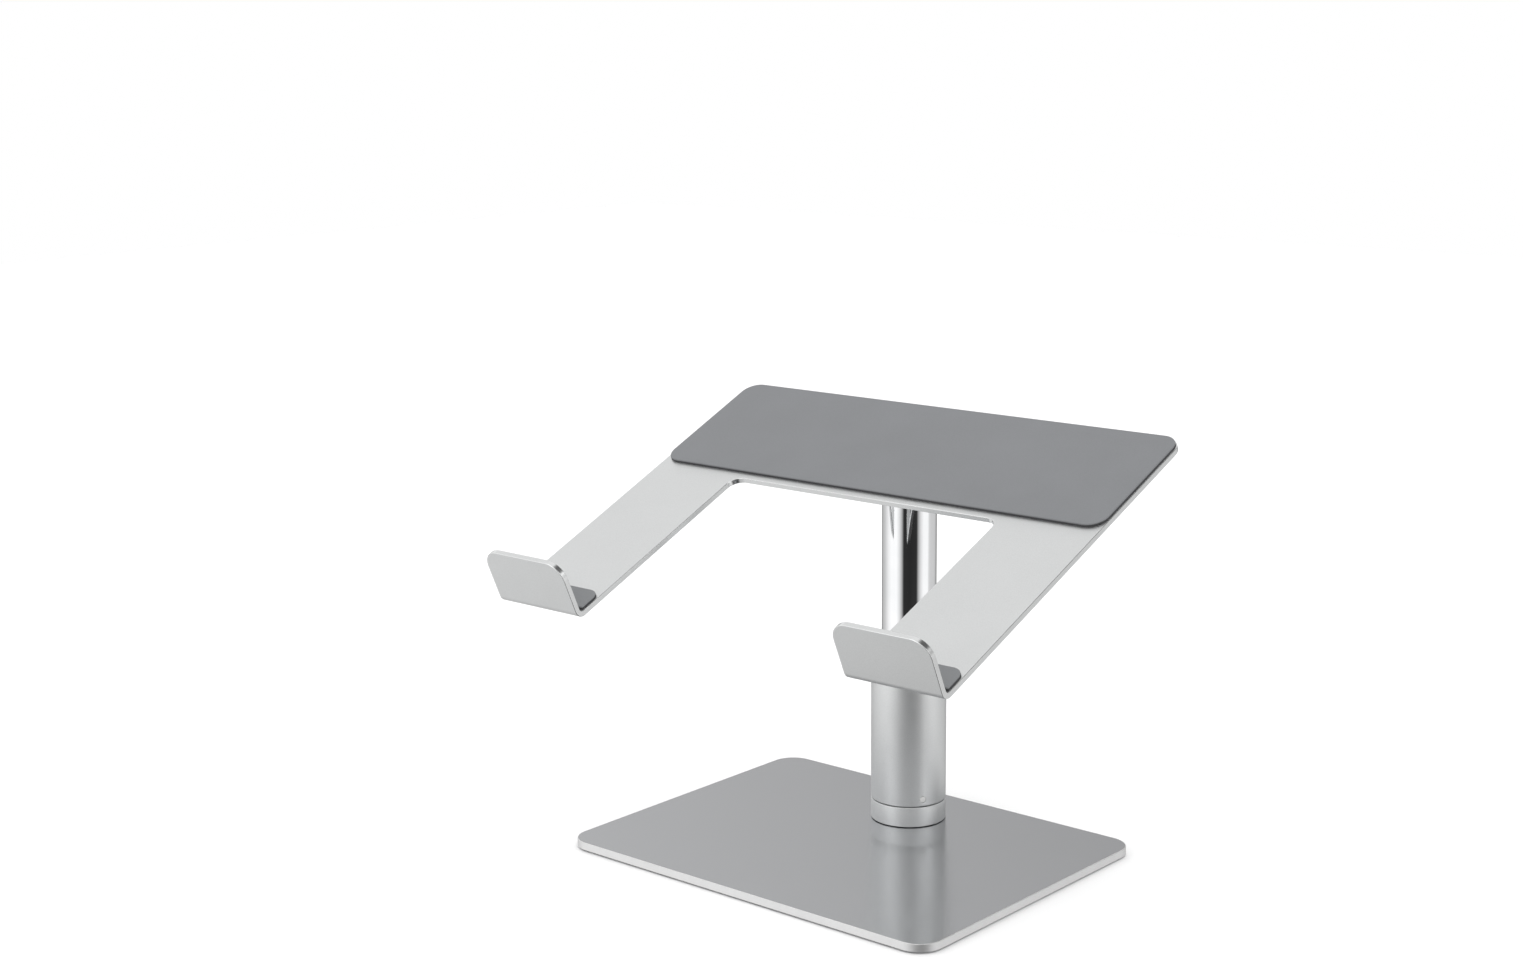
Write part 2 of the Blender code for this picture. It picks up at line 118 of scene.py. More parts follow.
# Floor and top light
FLOOR_REACH = 3.0
LIGHT_PLACE = (-0.2, 0.1, 1.6)
LIGHT_TARGET = (0, 0, 0)
LIGHT_SIZE = 1.8
LIGHT_POWER = 9

# Camera place, aim and lens
CAMERA_PLACE = (0.7314, -0.9115, 0.4304)
CAMERA_YAW = math.radians(40.92)
CAMERA_PITCH = math.radians(11.29)
CAMERA_ROLL = math.radians(0.48)
CAMERA_LENS = 55.685


def mount(name):
    """Position and outward axis of one of the record's mounts."""
    for entry in frame["record"]["mounts"]:
        if entry["name"] == name:
            return Vector(entry["pos_m"]), Vector(entry["axis"]).normalized()
    raise KeyError(name)


def span(node, origin, direction):
    """Lowest and highest reach of a CAD node along a direction from an origin."""
    reaches = [(vertex.co - origin).dot(direction) for vertex in frame["nodes"][node].data.vertices]
    return min(reaches), max(reaches)


def tray_frame():
    """The tray's own frame: X across, Y up the slope from the lips' front, Z off the sheet."""
    normal = mount("rear_rest")[1]
    stop, slope = mount("left_lip_stop")
    across = Vector((1, 0, 0))
    rough = Vector((0, stop.y, stop.z))
    front = span("tray_plate", rough, slope)[0]
    origin = rough + slope * front - normal * LIP_STOP_HEIGHT
    matrix = Matrix((across, slope, normal)).transposed().to_4x4()
    matrix.translation = origin
    return matrix


TRAY = tray_frame()
TRAY_ORIGIN = TRAY.translation.copy()
TRAY_X = TRAY.col[0].xyz
TRAY_Y = TRAY.col[1].xyz
TRAY_Z = TRAY.col[2].xyz


# ---------------------------------------------------------------- mesh tools

def arc(centre, radius, start_degrees, end_degrees, steps=14):
    """Points along an arc, ends included; a falling angle runs clockwise."""
    points = []
    for step in range(steps + 1):
        angle = math.radians(start_degrees + (end_degrees - start_degrees) * step / steps)
        points.append((centre[0] + radius * math.cos(angle), centre[1] + radius * math.sin(angle)))
    return points


def rounded_rectangle(x_range, y_range, radii):
    """Outline, anticlockwise, with radii for the corners (-x,-y), (+x,-y), (+x,+y), (-x,+y)."""
    corners = ((0, 0, 180), (1, 0, 270), (1, 1, 0), (0, 1, 90))
    points = []
    for (right, top, start), radius in zip(corners, radii):
        x = x_range[right] + (radius if right == 0 else -radius)
        y = y_range[top] + (radius if top == 0 else -radius)
        points += arc((x, y), radius, start, start + 90)
    return points


def extrude_outline(points, bottom, top):
    """Closed prism over an outline in XY."""
    shape = bmesh.new()
    corners = [shape.verts.new((x, y, bottom)) for x, y in points]
    face = shape.faces.new(corners)
    raised = bmesh.ops.extrude_face_region(shape, geom=[face])
    lifted = [item for item in raised["geom"] if isinstance(item, bmesh.types.BMVert)]
    bmesh.ops.translate(shape, verts=lifted, vec=(0, 0, top - bottom))
    return shape


def lathe(profile, steps=TURNED_STEPS):
    """Turned solid about Z from a closed profile of (radius, height) points."""
    shape = bmesh.new()
    corners = [shape.verts.new((radius, 0, height)) for radius, height in profile]
    edges = [shape.edges.new((corners[i - 1], corners[i])) for i in range(len(corners))]
    bmesh.ops.spin(shape, geom=corners + edges, cent=(0, 0, 0), axis=(0, 0, 1),
                   angle=math.tau, steps=steps, use_merge=True)
    bmesh.ops.remove_doubles(shape, verts=shape.verts[:], dist=1e-7)
    bmesh.ops.dissolve_degenerate(shape, dist=1e-7, edges=shape.edges[:])
    return shape


def rounded_profile(inner, outer, bottom, top, rounding):
    """Ring profile whose two outer edges are rounded."""
    lower = arc((outer - rounding, bottom + rounding), rounding, -90, 0, 5)
    upper = arc((outer - rounding, top - rounding), rounding, 0, 90, 5)
    return [(inner, bottom)] + lower + upper + [(inner, top)]


def add_piece(name, shape, materials, body, replaces=(), matrix=None, smooth=False):
    """Turn a bmesh into a piece that rides on a body and stands for the CAD nodes it replaces."""
    bmesh.ops.recalc_face_normals(shape, faces=shape.faces[:])
    if matrix is not None:
        shape.transform(matrix)
    mesh = bpy.data.meshes.new(name)
    shape.to_mesh(mesh)
    shape.free()
    for material in materials:
        mesh.materials.append(material)
    if smooth:
        mesh.shade_smooth()
        mesh.set_sharp_from_angle(angle=SMOOTH_ANGLE)
    piece = bpy.data.objects.new(name, mesh)
    bpy.context.scene.collection.objects.link(piece)
    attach(piece, body)
    if replaces:
        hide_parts(*replaces)
    return piece


def round_edges(piece, width, segments=3, edge_material=-1, chosen="ANGLE"):
    """Round the sharp or the weighted edges and shade them as a smooth run between flat faces."""
    modifier = piece.modifiers.new("round_edges", "BEVEL")
    modifier.width = width
    modifier.segments = segments
    modifier.limit_method = chosen
    modifier.angle_limit = ROUNDED_EDGE_ANGLE
    modifier.harden_normals = True
    modifier.material = edge_material
    piece.data.shade_smooth()
    piece.data.set_sharp_from_angle(angle=SMOOTH_ANGLE)


def weigh_top_rim(shape, top):
    """Mark the edges round the top face as the ones to round."""
    weight = shape.edges.layers.float.new("bevel_weight_edge")
    for edge in shape.edges:
        if all(abs(vertex.co.z - top) < 1e-6 for vertex in edge.verts):
            edge[weight] = 1.0


def side_faces_to_slot(shape, slot_index, limit=0.5):
    """Give the faces that don't face up or down another material slot."""
    shape.normal_update()
    for face in shape.faces:
        if abs(face.normal.z) < limit:
            face.material_index = slot_index


# ---------------------------------------------------------------- materials

class Nodes:
    """Small helper for building one material's node tree."""

    def __init__(self, name):
        self.material = bpy.data.materials.new(name)
        self.material.use_nodes = True
        self.tree = self.material.node_tree
        self.shader = self.tree.nodes["Principled BSDF"]
        self.place = self.add("ShaderNodeTexCoord").outputs["Object"]

    def add(self, kind, **settings):
        node = self.tree.nodes.new(kind)
        for key, value in settings.items():
            setattr(node, key, value)
        return node

    def link(self, output, socket):
        self.tree.links.new(output, socket)

    def stretched(self, scale):
        mapping = self.add("ShaderNodeMapping")
        mapping.inputs["Scale"].default_value = scale
        self.link(self.place, mapping.inputs["Vector"])
        return mapping.outputs["Vector"]

    def noise(self, scale, detail=2.0, roughness=0.5, vector=None):
        texture = self.add("ShaderNodeTexNoise")
        texture.inputs["Scale"].default_value = scale
        texture.inputs["Detail"].default_value = detail
        texture.inputs["Roughness"].default_value = roughness
        self.link(vector or self.place, texture.inputs["Vector"])
        return texture.outputs["Fac"]

    def remap(self, value, low, high, from_low=0.3, from_high=0.7):
        node = self.add("ShaderNodeMapRange")
        node.inputs["From Min"].default_value = from_low
        node.inputs["From Max"].default_value = from_high
        node.inputs["To Min"].default_value = low
        node.inputs["To Max"].default_value = high
        self.link(value, node.inputs["Value"])
        return node.outputs["Result"]

    def math(self, operation, first, second):
        node = self.add("ShaderNodeMath", operation=operation)
        for socket, value in zip(node.inputs, (first, second)):
            if isinstance(value, float):
                socket.default_value = value
            else:
                self.link(value, socket)
        return node.outputs["Value"]

    def blend_colours(self, factor, first, second):
        node = self.add("ShaderNodeMix", data_type="RGBA")
        node.inputs["A"].default_value = (*first, 1.0)
        node.inputs["B"].default_value = (*second, 1.0)
        self.link(factor, node.inputs["Factor"])
        return node.outputs["Result"]

    def set_surface(self, colour, roughness, height, distance):
        """Link the surface's colour, roughness and relief."""
        relief = self.add("ShaderNodeBump")
        relief.inputs["Distance"].default_value = distance
        relief.inputs["Strength"].default_value = 1.0
        self.link(height, relief.inputs["Height"])
        self.link(colour, self.shader.inputs["Base Color"])
        self.link(roughness, self.shader.inputs["Roughness"])
        self.link(relief.outputs["Normal"], self.shader.inputs["Normal"])


def scaled(colour, factor):
    return tuple(channel * factor for channel in colour)


def blasted_metal(name, colour, roughness, grain=0.05, grain_size=0.5 * MM, bump=0.006 * MM):
    """Bead-blasted, anodised metal: fine grain in tone and relief, faint handling marks."""
    nodes = Nodes(name)
    fine = nodes.noise(scale=1 / grain_size, detail=3.0, roughness=0.6)
    coarse = nodes.noise(scale=22.0, detail=3.0, roughness=0.5)
    smudge = nodes.noise(scale=60.0, detail=5.0, roughness=0.65)
    tone = nodes.math("ADD", nodes.math("MULTIPLY", fine, 0.8), nodes.math("MULTIPLY", coarse, 0.2))
    mixed = nodes.remap(tone, 0.0, 1.0, from_low=0.35, from_high=0.65)
    grained = nodes.blend_colours(mixed, scaled(colour, 1 - grain), scaled(colour, 1 + grain))
    nodes.set_surface(grained, nodes.remap(smudge, roughness - 0.03, roughness + 0.04), fine, bump)
    nodes.shader.inputs["Metallic"].default_value = 1.0
    return nodes.material


def edge_metal(name, colour, roughness):
    """Freshly cut edge: brighter, with fine marks along it."""
    nodes = Nodes(name)
    marks = nodes.noise(scale=900.0, vector=nodes.stretched((1.0, 1.0, 6.0)))
    wear = nodes.noise(scale=120.0, detail=4.0, roughness=0.6)
    worn = nodes.blend_colours(nodes.remap(wear, 0.0, 1.0), scaled(colour, 0.96), colour)
    nodes.set_surface(worn, nodes.remap(marks, roughness - 0.02, roughness + 0.02), marks, 0.0005 * MM)
    nodes.shader.inputs["Metallic"].default_value = 1.0
    return nodes.material


def chrome_metal(name):
    """Polished chrome: nearly clean, with faint vertical polish lines and a little haze."""
    nodes = Nodes(name)
    polish = nodes.noise(scale=260.0, vector=nodes.stretched((1.0, 1.0, 0.04)))
    haze = nodes.noise(scale=45.0, detail=4.0, roughness=0.6)
    hazed = nodes.blend_colours(nodes.remap(haze, 0.0, 1.0), *CHROME_COLOURS)
    nodes.set_surface(hazed, nodes.remap(haze, 0.035, 0.075), polish, 0.0006 * MM)
    nodes.shader.inputs["Metallic"].default_value = 1.0
    return nodes.material


def silicone(name, colour, roughness=0.62, grain=0.06, grain_size=0.45 * MM):
    """Matt silicone rubber or polymer with a moulded micro-texture and faint clouding."""
    nodes = Nodes(name)
    fine = nodes.noise(scale=1 / grain_size, detail=3.0, roughness=0.6)
    cloud = nodes.noise(scale=30.0, detail=4.0, roughness=0.6)
    tone = nodes.math("ADD", nodes.math("MULTIPLY", fine, 0.6), nodes.math("MULTIPLY", cloud, 0.4))
    mixed = nodes.remap(tone, 0.0, 1.0, from_low=0.38, from_high=0.62)
    clouded = nodes.blend_colours(mixed, scaled(colour, 1 - grain), scaled(colour, 1 + grain))
    nodes.set_surface(clouded, nodes.remap(cloud, roughness - 0.05, roughness + 0.06), fine, 0.02 * MM)
    nodes.shader.inputs["Specular IOR Level"].default_value = 0.4
    return nodes.material


def make_materials():
    return {
        "base": blasted_metal("base_satin", BASE_COLOUR, roughness=0.18, grain=0.01,
                              grain_size=0.4 * MM, bump=0.0006 * MM),
        "base_edge": edge_metal("base_edge", BASE_EDGE_COLOUR, roughness=0.54),
        "column": blasted_metal("column_satin", SATIN_COLOUR, roughness=0.50, grain=0.03),
        "tray": blasted_metal("tray_blasted", SATIN_COLOUR, roughness=0.42, grain_size=0.4 * MM),
        "tray_edge": edge_metal("tray_edge", TRAY_EDGE_COLOUR, roughness=0.22),
        "chrome": chrome_metal("chrome"),
        "pad": silicone("grey_silicone", REAR_PAD_COLOUR),
        # Hook pads: the same silicone with a little painted light, against the lips' shade
        "hook_pad": silicone("hook_silicone_painted_light", HOOK_PAD_LIT_COLOUR),
        "pad_side_shade": silicone("silicone_side_painted_shade", PAD_SIDE_SHADE_COLOUR),
        "mat": silicone("black_silicone", MAT_COLOUR, roughness=0.7),
        "polymer": silicone("black_polymer", POLYMER_COLOUR, roughness=0.45),
        "glide": silicone("pale_polymer", GLIDE_COLOUR, roughness=0.45),
        "steel": blasted_metal("zinc_steel", ZINC_COLOUR, roughness=0.3),
    }


# ---------------------------------------------------------------- pieces

def axis_place():
    """Matrix at the column's axis on the desk."""
    low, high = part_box("column_tube")
    return Matrix.Translation(((low.x + high.x) / 2, (low.y + high.y) / 2, 0))


def node_radius(node):
    low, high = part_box(node)
    return (high.x - low.x) / 2


def build_base(materials):
    low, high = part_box("base_plate")
    outline = rounded_rectangle((low.x, high.x), (low.y, high.y), [BASE_CORNER] * 4)
    shape = extrude_outline(outline, low.z, high.z)
    side_faces_to_slot(shape, 1)
    plate = add_piece("base_plate_fine", shape, (materials["base"], materials["base_edge"]),
                      "base", ["base_plate"])
    round_edges(plate, BASE_EDGE, edge_material=1)


def build_collar(materials):
    low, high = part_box("collar")
    profile = rounded_profile(COLLAR_BORE, node_radius("collar"), low.z, high.z, COLLAR_EDGE)
    add_piece("collar_fine", lathe(profile), [materials["column"]], "base",
              ["collar"], axis_place(), smooth=True)


def build_column(materials):
    """Column with a chamfered mouth and a pocket for the index dot."""
    low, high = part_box("column_tube")
    bore = node_radius("column_bush") + BUSH_GAP
    profile = rounded_profile(bore, node_radius("column_tube"), low.z, high.z, COLUMN_MOUTH)
    profile[-1] = (bore + COLUMN_MOUTH, high.z)
    profile.append((bore, high.z - COLUMN_MOUTH))
    column = add_piece("column_tube_fine", lathe(profile), [materials["column"]], "column",
                       ["column_tube"], axis_place(), smooth=True)
    cut_dot_pocket(column)


def dot_size():
    """Radius of the index dot, and the matrix that points Z outward through its middle."""
    low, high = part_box("index_dot")
    outward = Vector((math.sin(DOT_ANGLE), -math.cos(DOT_ANGLE), 0))
    turn = outward.to_track_quat("Z", "Y").to_matrix().to_4x4()
    return (high.z - low.z) / 2, axis_place() @ Matrix.Translation((0, 0, (low.z + high.z) / 2)) @ turn


def cut_dot_pocket(column):
    """Cut the shallow pocket that the index dot is set into."""
    outer = node_radius("column_tube")
    radius, place = dot_size()
    profile = [(0, outer - DOT_DEPTH), (radius + DOT_GAP, outer - DOT_DEPTH),
               (radius + DOT_GAP, outer + DOT_DEPTH), (0, outer + DOT_DEPTH)]
    pocket = lathe(profile, DOT_STEPS)
    bmesh.ops.recalc_face_normals(pocket, faces=pocket.faces[:])
    mesh = bpy.data.meshes.new("dot_pocket")
    pocket.to_mesh(mesh)
    pocket.free()
    cutter = bpy.data.objects.new("dot_pocket", mesh)
    bpy.context.scene.collection.objects.link(cutter)
    cutter.matrix_world = place
    modifier = column.modifiers.new("dot_pocket", "BOOLEAN")
    modifier.operation = "DIFFERENCE"
    modifier.solver = "EXACT"
    modifier.object = cutter
    bpy.context.view_layer.update()
    graph = bpy.context.evaluated_depsgraph_get()
    cut_mesh = bpy.data.meshes.new_from_object(column.evaluated_get(graph))
    column.modifiers.remove(modifier)
    uncut_mesh = column.data
    column.data = cut_mesh
    bpy.data.meshes.remove(uncut_mesh)
    bpy.data.objects.remove(cutter)
    column.data.shade_smooth()
    column.data.set_sharp_from_angle(angle=SMOOTH_ANGLE)


def build_dot(materials):
    outer = node_radius("column_tube")
    radius, place = dot_size()
    rim = arc((radius - DOT_EDGE, outer - DOT_EDGE), DOT_EDGE, 0, 90, 3)
    profile = [(0, outer - DOT_DEPTH), (radius, outer - DOT_DEPTH)] + rim + [(0, outer)]
    add_piece("index_dot_fine", lathe(profile, DOT_STEPS), [materials["glide"]], "column",
              ["index_dot"], place, smooth=True)


def build_inner_tube(materials):
    low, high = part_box("inner_tube")
    outer = node_radius("inner_tube")
    profile = rounded_profile(outer - TUBE_WALL, outer, low.z, high.z, TUBE_EDGE)
    add_piece("inner_tube_fine", lathe(profile), [materials["chrome"]], "lift",
              ["inner_tube"], axis_place(), smooth=True)


def build_flange(materials):
    """The bracket's flange, flat against the underside of the tray."""
    top = span("tray_bracket", TRAY_ORIGIN, TRAY_Z)[1]
    across = span("tray_bracket", TRAY_ORIGIN, TRAY_X)
    outline = rounded_rectangle(across, flange_reach(top), [FLANGE_CORNER] * 4)
    flange = add_piece("bracket_flange_fine", extrude_outline(outline, top - FLANGE_THICKNESS, top),
                       [materials["column"]], "lift", ["tray_bracket"], TRAY)
    round_edges(flange, FLANGE_EDGE, FLANGE_EDGE_SEGMENTS)


def build_hub(materials):
    """The bracket's hub, round the tube, cut off along the slope inside the flange."""
    place = axis_place()
    radius = node_radius("column_tube")
    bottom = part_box("tray_bracket")[0].z
    flange_top = span("tray_bracket", TRAY_ORIGIN, TRAY_Z)[1]
    slope = TRAY_Y.z / TRAY_Y.y
    top = TRAY_ORIGIN.z + (place.translation.y - TRAY_ORIGIN.y) * slope
    top += (flange_top - FLANGE_THICKNESS / 2) / TRAY_Z.z
    foot = arc((radius - HUB_EDGE, bottom + HUB_EDGE), HUB_EDGE, -90, 0, 6)
    blank_top = top + HUB_SPARE_LENGTH
    hub = lathe([(HUB_BORE, bottom)] + foot + [(radius, blank_top), (HUB_BORE, blank_top)])
    bmesh.ops.bisect_plane(hub, geom=hub.verts[:] + hub.edges[:] + hub.faces[:],
                           plane_co=(0, 0, top), plane_no=(0, -TRAY_Y.z, TRAY_Z.z), clear_outer=True)
    rim = [edge for edge in hub.edges if edge.is_boundary]
    bmesh.ops.bridge_loops(hub, edges=rim)
    add_piece("bracket_hub_fine", hub, [materials["column"]], "lift", (), place, smooth=True)


def flange_reach(top):
    """How far the bracket's flange reaches along the slope, from its CAD corners near the sheet."""
    lowest = top - FLANGE_THICKNESS * 1.1
    reaches = []
    for vertex in frame["nodes"]["tray_bracket"].data.vertices:
        local = vertex.co - TRAY_ORIGIN
        if local.dot(TRAY_Z) > lowest:
            reaches.append(local.dot(TRAY_Y))
    return min(reaches), max(reaches)


def tray_outline(half_width, arm_inner, cut_back, length, lip_top):
    """Flat pattern of the U-shaped sheet: X across, Y along, the lips reaching down to lip_top."""
    lip_y = lip_top + LIP_CORNER
    outline = []
    outline += arc((-half_width + LIP_CORNER, lip_y), LIP_CORNER, 180, 270)
    outline += arc((-arm_inner - LIP_CORNER, lip_y), LIP_CORNER, 270, 360)
    outline += arc((-arm_inner + CUT_CORNER, cut_back - CUT_CORNER), CUT_CORNER, 180, 90)
    outline += arc((arm_inner - CUT_CORNER, cut_back - CUT_CORNER), CUT_CORNER, 90, 0)
    outline += arc((arm_inner + LIP_CORNER, lip_y), LIP_CORNER, 180, 270)
    outline += arc((half_width - LIP_CORNER, lip_y), LIP_CORNER, 270, 360)
    outline += arc((half_width - TRAY_CORNER, length - TRAY_CORNER), TRAY_CORNER, 0, 90)
    outline += arc((-half_width + TRAY_CORNER, length - TRAY_CORNER), TRAY_CORNER, 90, 180)
    return outline


def fold(point, bend_start, bend_length):
    """Place a point of the flat sheet on the folded sheet: flat, around the bend, or up the lip."""
    radius = BEND_RADIUS - point.z
    past_start = bend_start - point.y
    if past_start <= 0:
        return point.copy()
    angle = min(past_start / bend_length, 1) * math.pi / 2
    along = bend_start - radius * math.sin(angle)
    height = BEND_RADIUS - radius * math.cos(angle) + max(past_start - bend_length, 0)
    return Vector((point.x, along, height))


def build_tray(materials):
    thickness = -span("tray_plate", TRAY_ORIGIN, TRAY_Z)[0]
    lip_height = span("tray_plate", TRAY_ORIGIN, TRAY_Z)[1]
    length = span("tray_plate", TRAY_ORIGIN, TRAY_Y)[1]
    half_width = span("tray_plate", TRAY_ORIGIN, TRAY_X)[1]
    cut_back = span("rear_pad", TRAY_ORIGIN, TRAY_Y)[0] - CUT_TO_PAD
    bend_start = thickness + BEND_RADIUS
    bend_length = (BEND_RADIUS + thickness / 2) * math.pi / 2
    lip_top = bend_start - bend_length - (lip_height - BEND_RADIUS)
    outline = tray_outline(half_width, half_width - ARM_WIDTH, cut_back, length, lip_top)
    sheet = extrude_outline(outline, -thickness, 0)
    side_faces_to_slot(sheet, 1)
    for step in range(BEND_STEPS + 1):
        cut = bend_start - bend_length * step / BEND_STEPS
        bmesh.ops.bisect_plane(sheet, geom=sheet.verts[:] + sheet.edges[:] + sheet.faces[:],
                               plane_co=(0, cut, 0), plane_no=(0, 1, 0))
    for vertex in sheet.verts:
        vertex.co = fold(vertex.co, bend_start, bend_length)
    tray = add_piece("tray_plate_fine", sheet, (materials["tray"], materials["tray_edge"]),
                     "lift", ["tray_plate"], TRAY)
    round_edges(tray, TRAY_EDGE, edge_material=1)


def build_pads(materials):
    for node, material, radii in (
        ("rear_pad", "pad", REAR_PAD_CORNERS),
        ("hook_pad_left", "hook_pad", HOOK_PAD_CORNERS),
        ("hook_pad_right", "hook_pad", HOOK_PAD_CORNERS),
    ):
        across = span(node, TRAY_ORIGIN, TRAY_X)
        along = span(node, TRAY_ORIGIN, TRAY_Y)
        top = span(node, TRAY_ORIGIN, TRAY_Z)[1]
        shape = extrude_outline(rounded_rectangle(across, along, radii), PAD_SEAT, top)
        # The side faces take the painted-shade colour; the rounded top rim keeps the top's colour
        side_faces_to_slot(shape, 1)
        weigh_top_rim(shape, top)
        pad = add_piece(f"{node}_fine", shape, (materials[material], materials["pad_side_shade"]),
                        "lift", [node], TRAY)
        round_edges(pad, PAD_EDGE, PAD_EDGE_SEGMENTS, edge_material=0, chosen="WEIGHT")


def finish_cad_nodes(materials):
    """Better materials for the CAD pieces that stay."""
    kept = {
        "base_mat": "mat", "wiper_ring": "mat", "column_bush": "polymer", "tube_guide": "polymer",
        "glide_washer": "glide", "column_floor": "column", "spindle": "steel",
        "spindle_washer": "steel", "spindle_nut": "steel",
    }
    for index in range(1, 4):
        kept[f"collar_screw_{index}"] = "steel"
    for index in range(1, 5):
        kept[f"tray_screw_{index}"] = "steel"
    for node, key in kept.items():
        for material_slot in frame["nodes"][node].material_slots:
            material_slot.material = materials[key]


# ---------------------------------------------------------------- studio

def build_floor():
    shape = bmesh.new()
    bmesh.ops.create_grid(shape, x_segments=1, y_segments=1, size=FLOOR_REACH)
    mesh = bpy.data.meshes.new("floor")
    shape.to_mesh(mesh)
    shape.free()
    nodes = Nodes("floor_white")
    tone = nodes.remap(nodes.noise(scale=6.0), 0.0, 1.0)
    nodes.link(nodes.blend_colours(tone, *FLOOR_COLOURS), nodes.shader.inputs["Base Color"])
    nodes.shader.inputs["Roughness"].default_value = 0.9
    nodes.shader.inputs["Specular IOR Level"].default_value = 0.1
    mesh.materials.append(nodes.material)
    floor = bpy.data.objects.new("floor", mesh)
    bpy.context.scene.collection.objects.link(floor)
    floor.visible_glossy = False


def build_light():
    """Soft light overhead; what the metals reflect comes from the world instead."""
    light = bpy.data.lights.new("top_light", "AREA")
    light.shape = "RECTANGLE"
    light.size = light.size_y = LIGHT_SIZE
    light.energy = LIGHT_POWER
    lamp = bpy.data.objects.new("top_light", light)
    bpy.context.scene.collection.objects.link(lamp)
    lamp.location = LIGHT_PLACE
    aim = Vector(LIGHT_TARGET) - Vector(LIGHT_PLACE)
    lamp.rotation_euler = aim.to_track_quat("-Z", "Y").to_euler()
    lamp.visible_glossy = False
    lamp.visible_camera = False


class Studio:
    """Small helper for building the world's node tree."""

    def __init__(self, name):
        self.world = bpy.data.worlds.new(name)
        self.world.use_nodes = True
        self.tree = self.world.node_tree
        self.background = self.tree.nodes["Background"]
        self.background.inputs["Color"].default_value = (1, 1, 1, 1)
        split = self.tree.nodes.new("ShaderNodeSeparateXYZ")
        self.direction = self.tree.nodes.new("ShaderNodeTexCoord").outputs["Generated"]
        self.link(self.direction, split.inputs["Vector"])
        self.x, self.y, self.z = split.outputs

    def link(self, output, socket):
        self.tree.links.new(output, socket)

    def put(self, value, socket):
        """Set a socket to a number, or link it to another node's output."""
        if isinstance(value, (int, float)):
            socket.default_value = value
        else:
            self.link(value, socket)

    def math(self, operation, *values):
        node = self.tree.nodes.new("ShaderNodeMath")
        node.operation = operation
        for socket, value in zip(node.inputs, values):
            self.put(value, socket)
        return node.outputs["Value"]

    def step(self, value, low, high):
        """Smooth step from 0 at low to 1 at high."""
        node = self.tree.nodes.new("ShaderNodeMapRange")
        node.interpolation_type = "SMOOTHSTEP"
        node.inputs["From Min"].default_value = low
        node.inputs["From Max"].default_value = high
        self.link(value, node.inputs["Value"])
        return node.outputs["Result"]

    def window(self, value, start, full, fade, end):
        """Smooth window: 0 at start, 1 from full to fade, 0 again at end."""
        closing = self.math("SUBTRACT", 1.0, self.step(value, fade, end))
        return self.math("MULTIPLY", self.step(value, start, full), closing)

    def dot(self, towards):
        """How far the ray points towards a direction."""
        node = self.tree.nodes.new("ShaderNodeVectorMath")
        node.operation = "DOT_PRODUCT"
        self.link(self.direction, node.inputs[0])
        node.inputs[1].default_value = towards
        return node.outputs["Value"]

    def ramp(self, value, stops):
        """Tone ramp; the stops give (place in 0 to 1, brightness)."""
        node = self.tree.nodes.new("ShaderNodeValToRGB")
        elements = node.color_ramp.elements
        while len(elements) < len(stops):
            elements.new(0.5)
        for element, (position, tone) in zip(elements, stops):
            element.position = position
            element.color = (tone, tone, tone, 1)
        self.link(value, node.inputs["Fac"])
        return node.outputs["Color"]

    def mix(self, factor, first, second):
        """first * (1 - factor) + second * factor."""
        node = self.tree.nodes.new("ShaderNodeMix")
        for name, value in (("A", first), ("B", second), ("Factor", factor)):
            self.put(value, node.inputs[name])
        return node.outputs["Result"]


# Tone round the studio at eye level, by degrees from the dark flag in front; minus is to its left
ROUND_TONES = (
    (-180, 0.25), (-155, 0.35), (-149, 0.50), (-126, 0.64), (-110, 0.82), (-100, 0.97), (-85, 1.10),
    (-58, 1.10), (-45, 0.82), (-35, 0.45), (-31.5, 0.25), (-27, 0.03), (0, 0.025),
    (27, 0.03), (31.5, 0.25), (35, 0.45), (45, 0.80), (58, 1.05), (80, 1.05),
    (86, 0.75), (97, 0.66), (126, 0.63), (140, 0.45), (150, 0.27), (180, 0.25),
)
# Tone by height, from straight down (-1) to straight up (1)
HEIGHT_TONES = (
    (-1.0, 0.15), (-0.95, 0.25), (-0.82, 0.47), (-0.74, 0.68), (-0.65, 0.81), (-0.50, 0.80), (-0.29, 0.95),
    (0.0, 0.66), (0.31, 0.65), (0.37, 0.76), (0.50, 0.80), (0.68, 0.82), (1.0, 0.90),
)
# Bright panels in front, by degrees to either side of the dark flag: from tone to tone, and their end
FRONT_PANEL_TONE = 0.85
SIDE_PANEL_TONE = 1.8
SIDE_PANEL_START = (20, 48)
FRONT_PANEL_END = (64, 84)
# Heights, from straight down (-1) to straight up (1), where a window starts, is full, fades and ends
SIDE_PANEL_HEIGHT = (0.03, 0.20, 0.55, 0.75)
FRONT_FLAG_HEIGHT = (-0.55, -0.33, -0.05, 0.32)
EYE_LEVEL_HEIGHT = (-0.50, -0.32, 0.0, 0.20)
FALL_HEIGHT = (-0.1, 0.1, 0.40, 0.60)
FRONT_FLAG_END = (45, 58)
# The studio grows darker from left to right: reach of the fall, gain at its left and at its right
LEFT_TO_RIGHT_FALL = (0.5, 1.35, 0.6)
# Round flags: direction, tone, and the degrees where they are full and where they end
ROUND_FLAGS = (
    (Vector((0.50, 0.30, 0.81)).normalized(), 0.10, 16, 30),
    (Vector((0.60, -0.40, -0.69)).normalized(), 0.04, 20, 34),
)
# What the floor and other matt surfaces are lit by, and what lies behind everything
DIFFUSE_LIGHT = 1.15
BACKDROP_LIGHT = 1.0


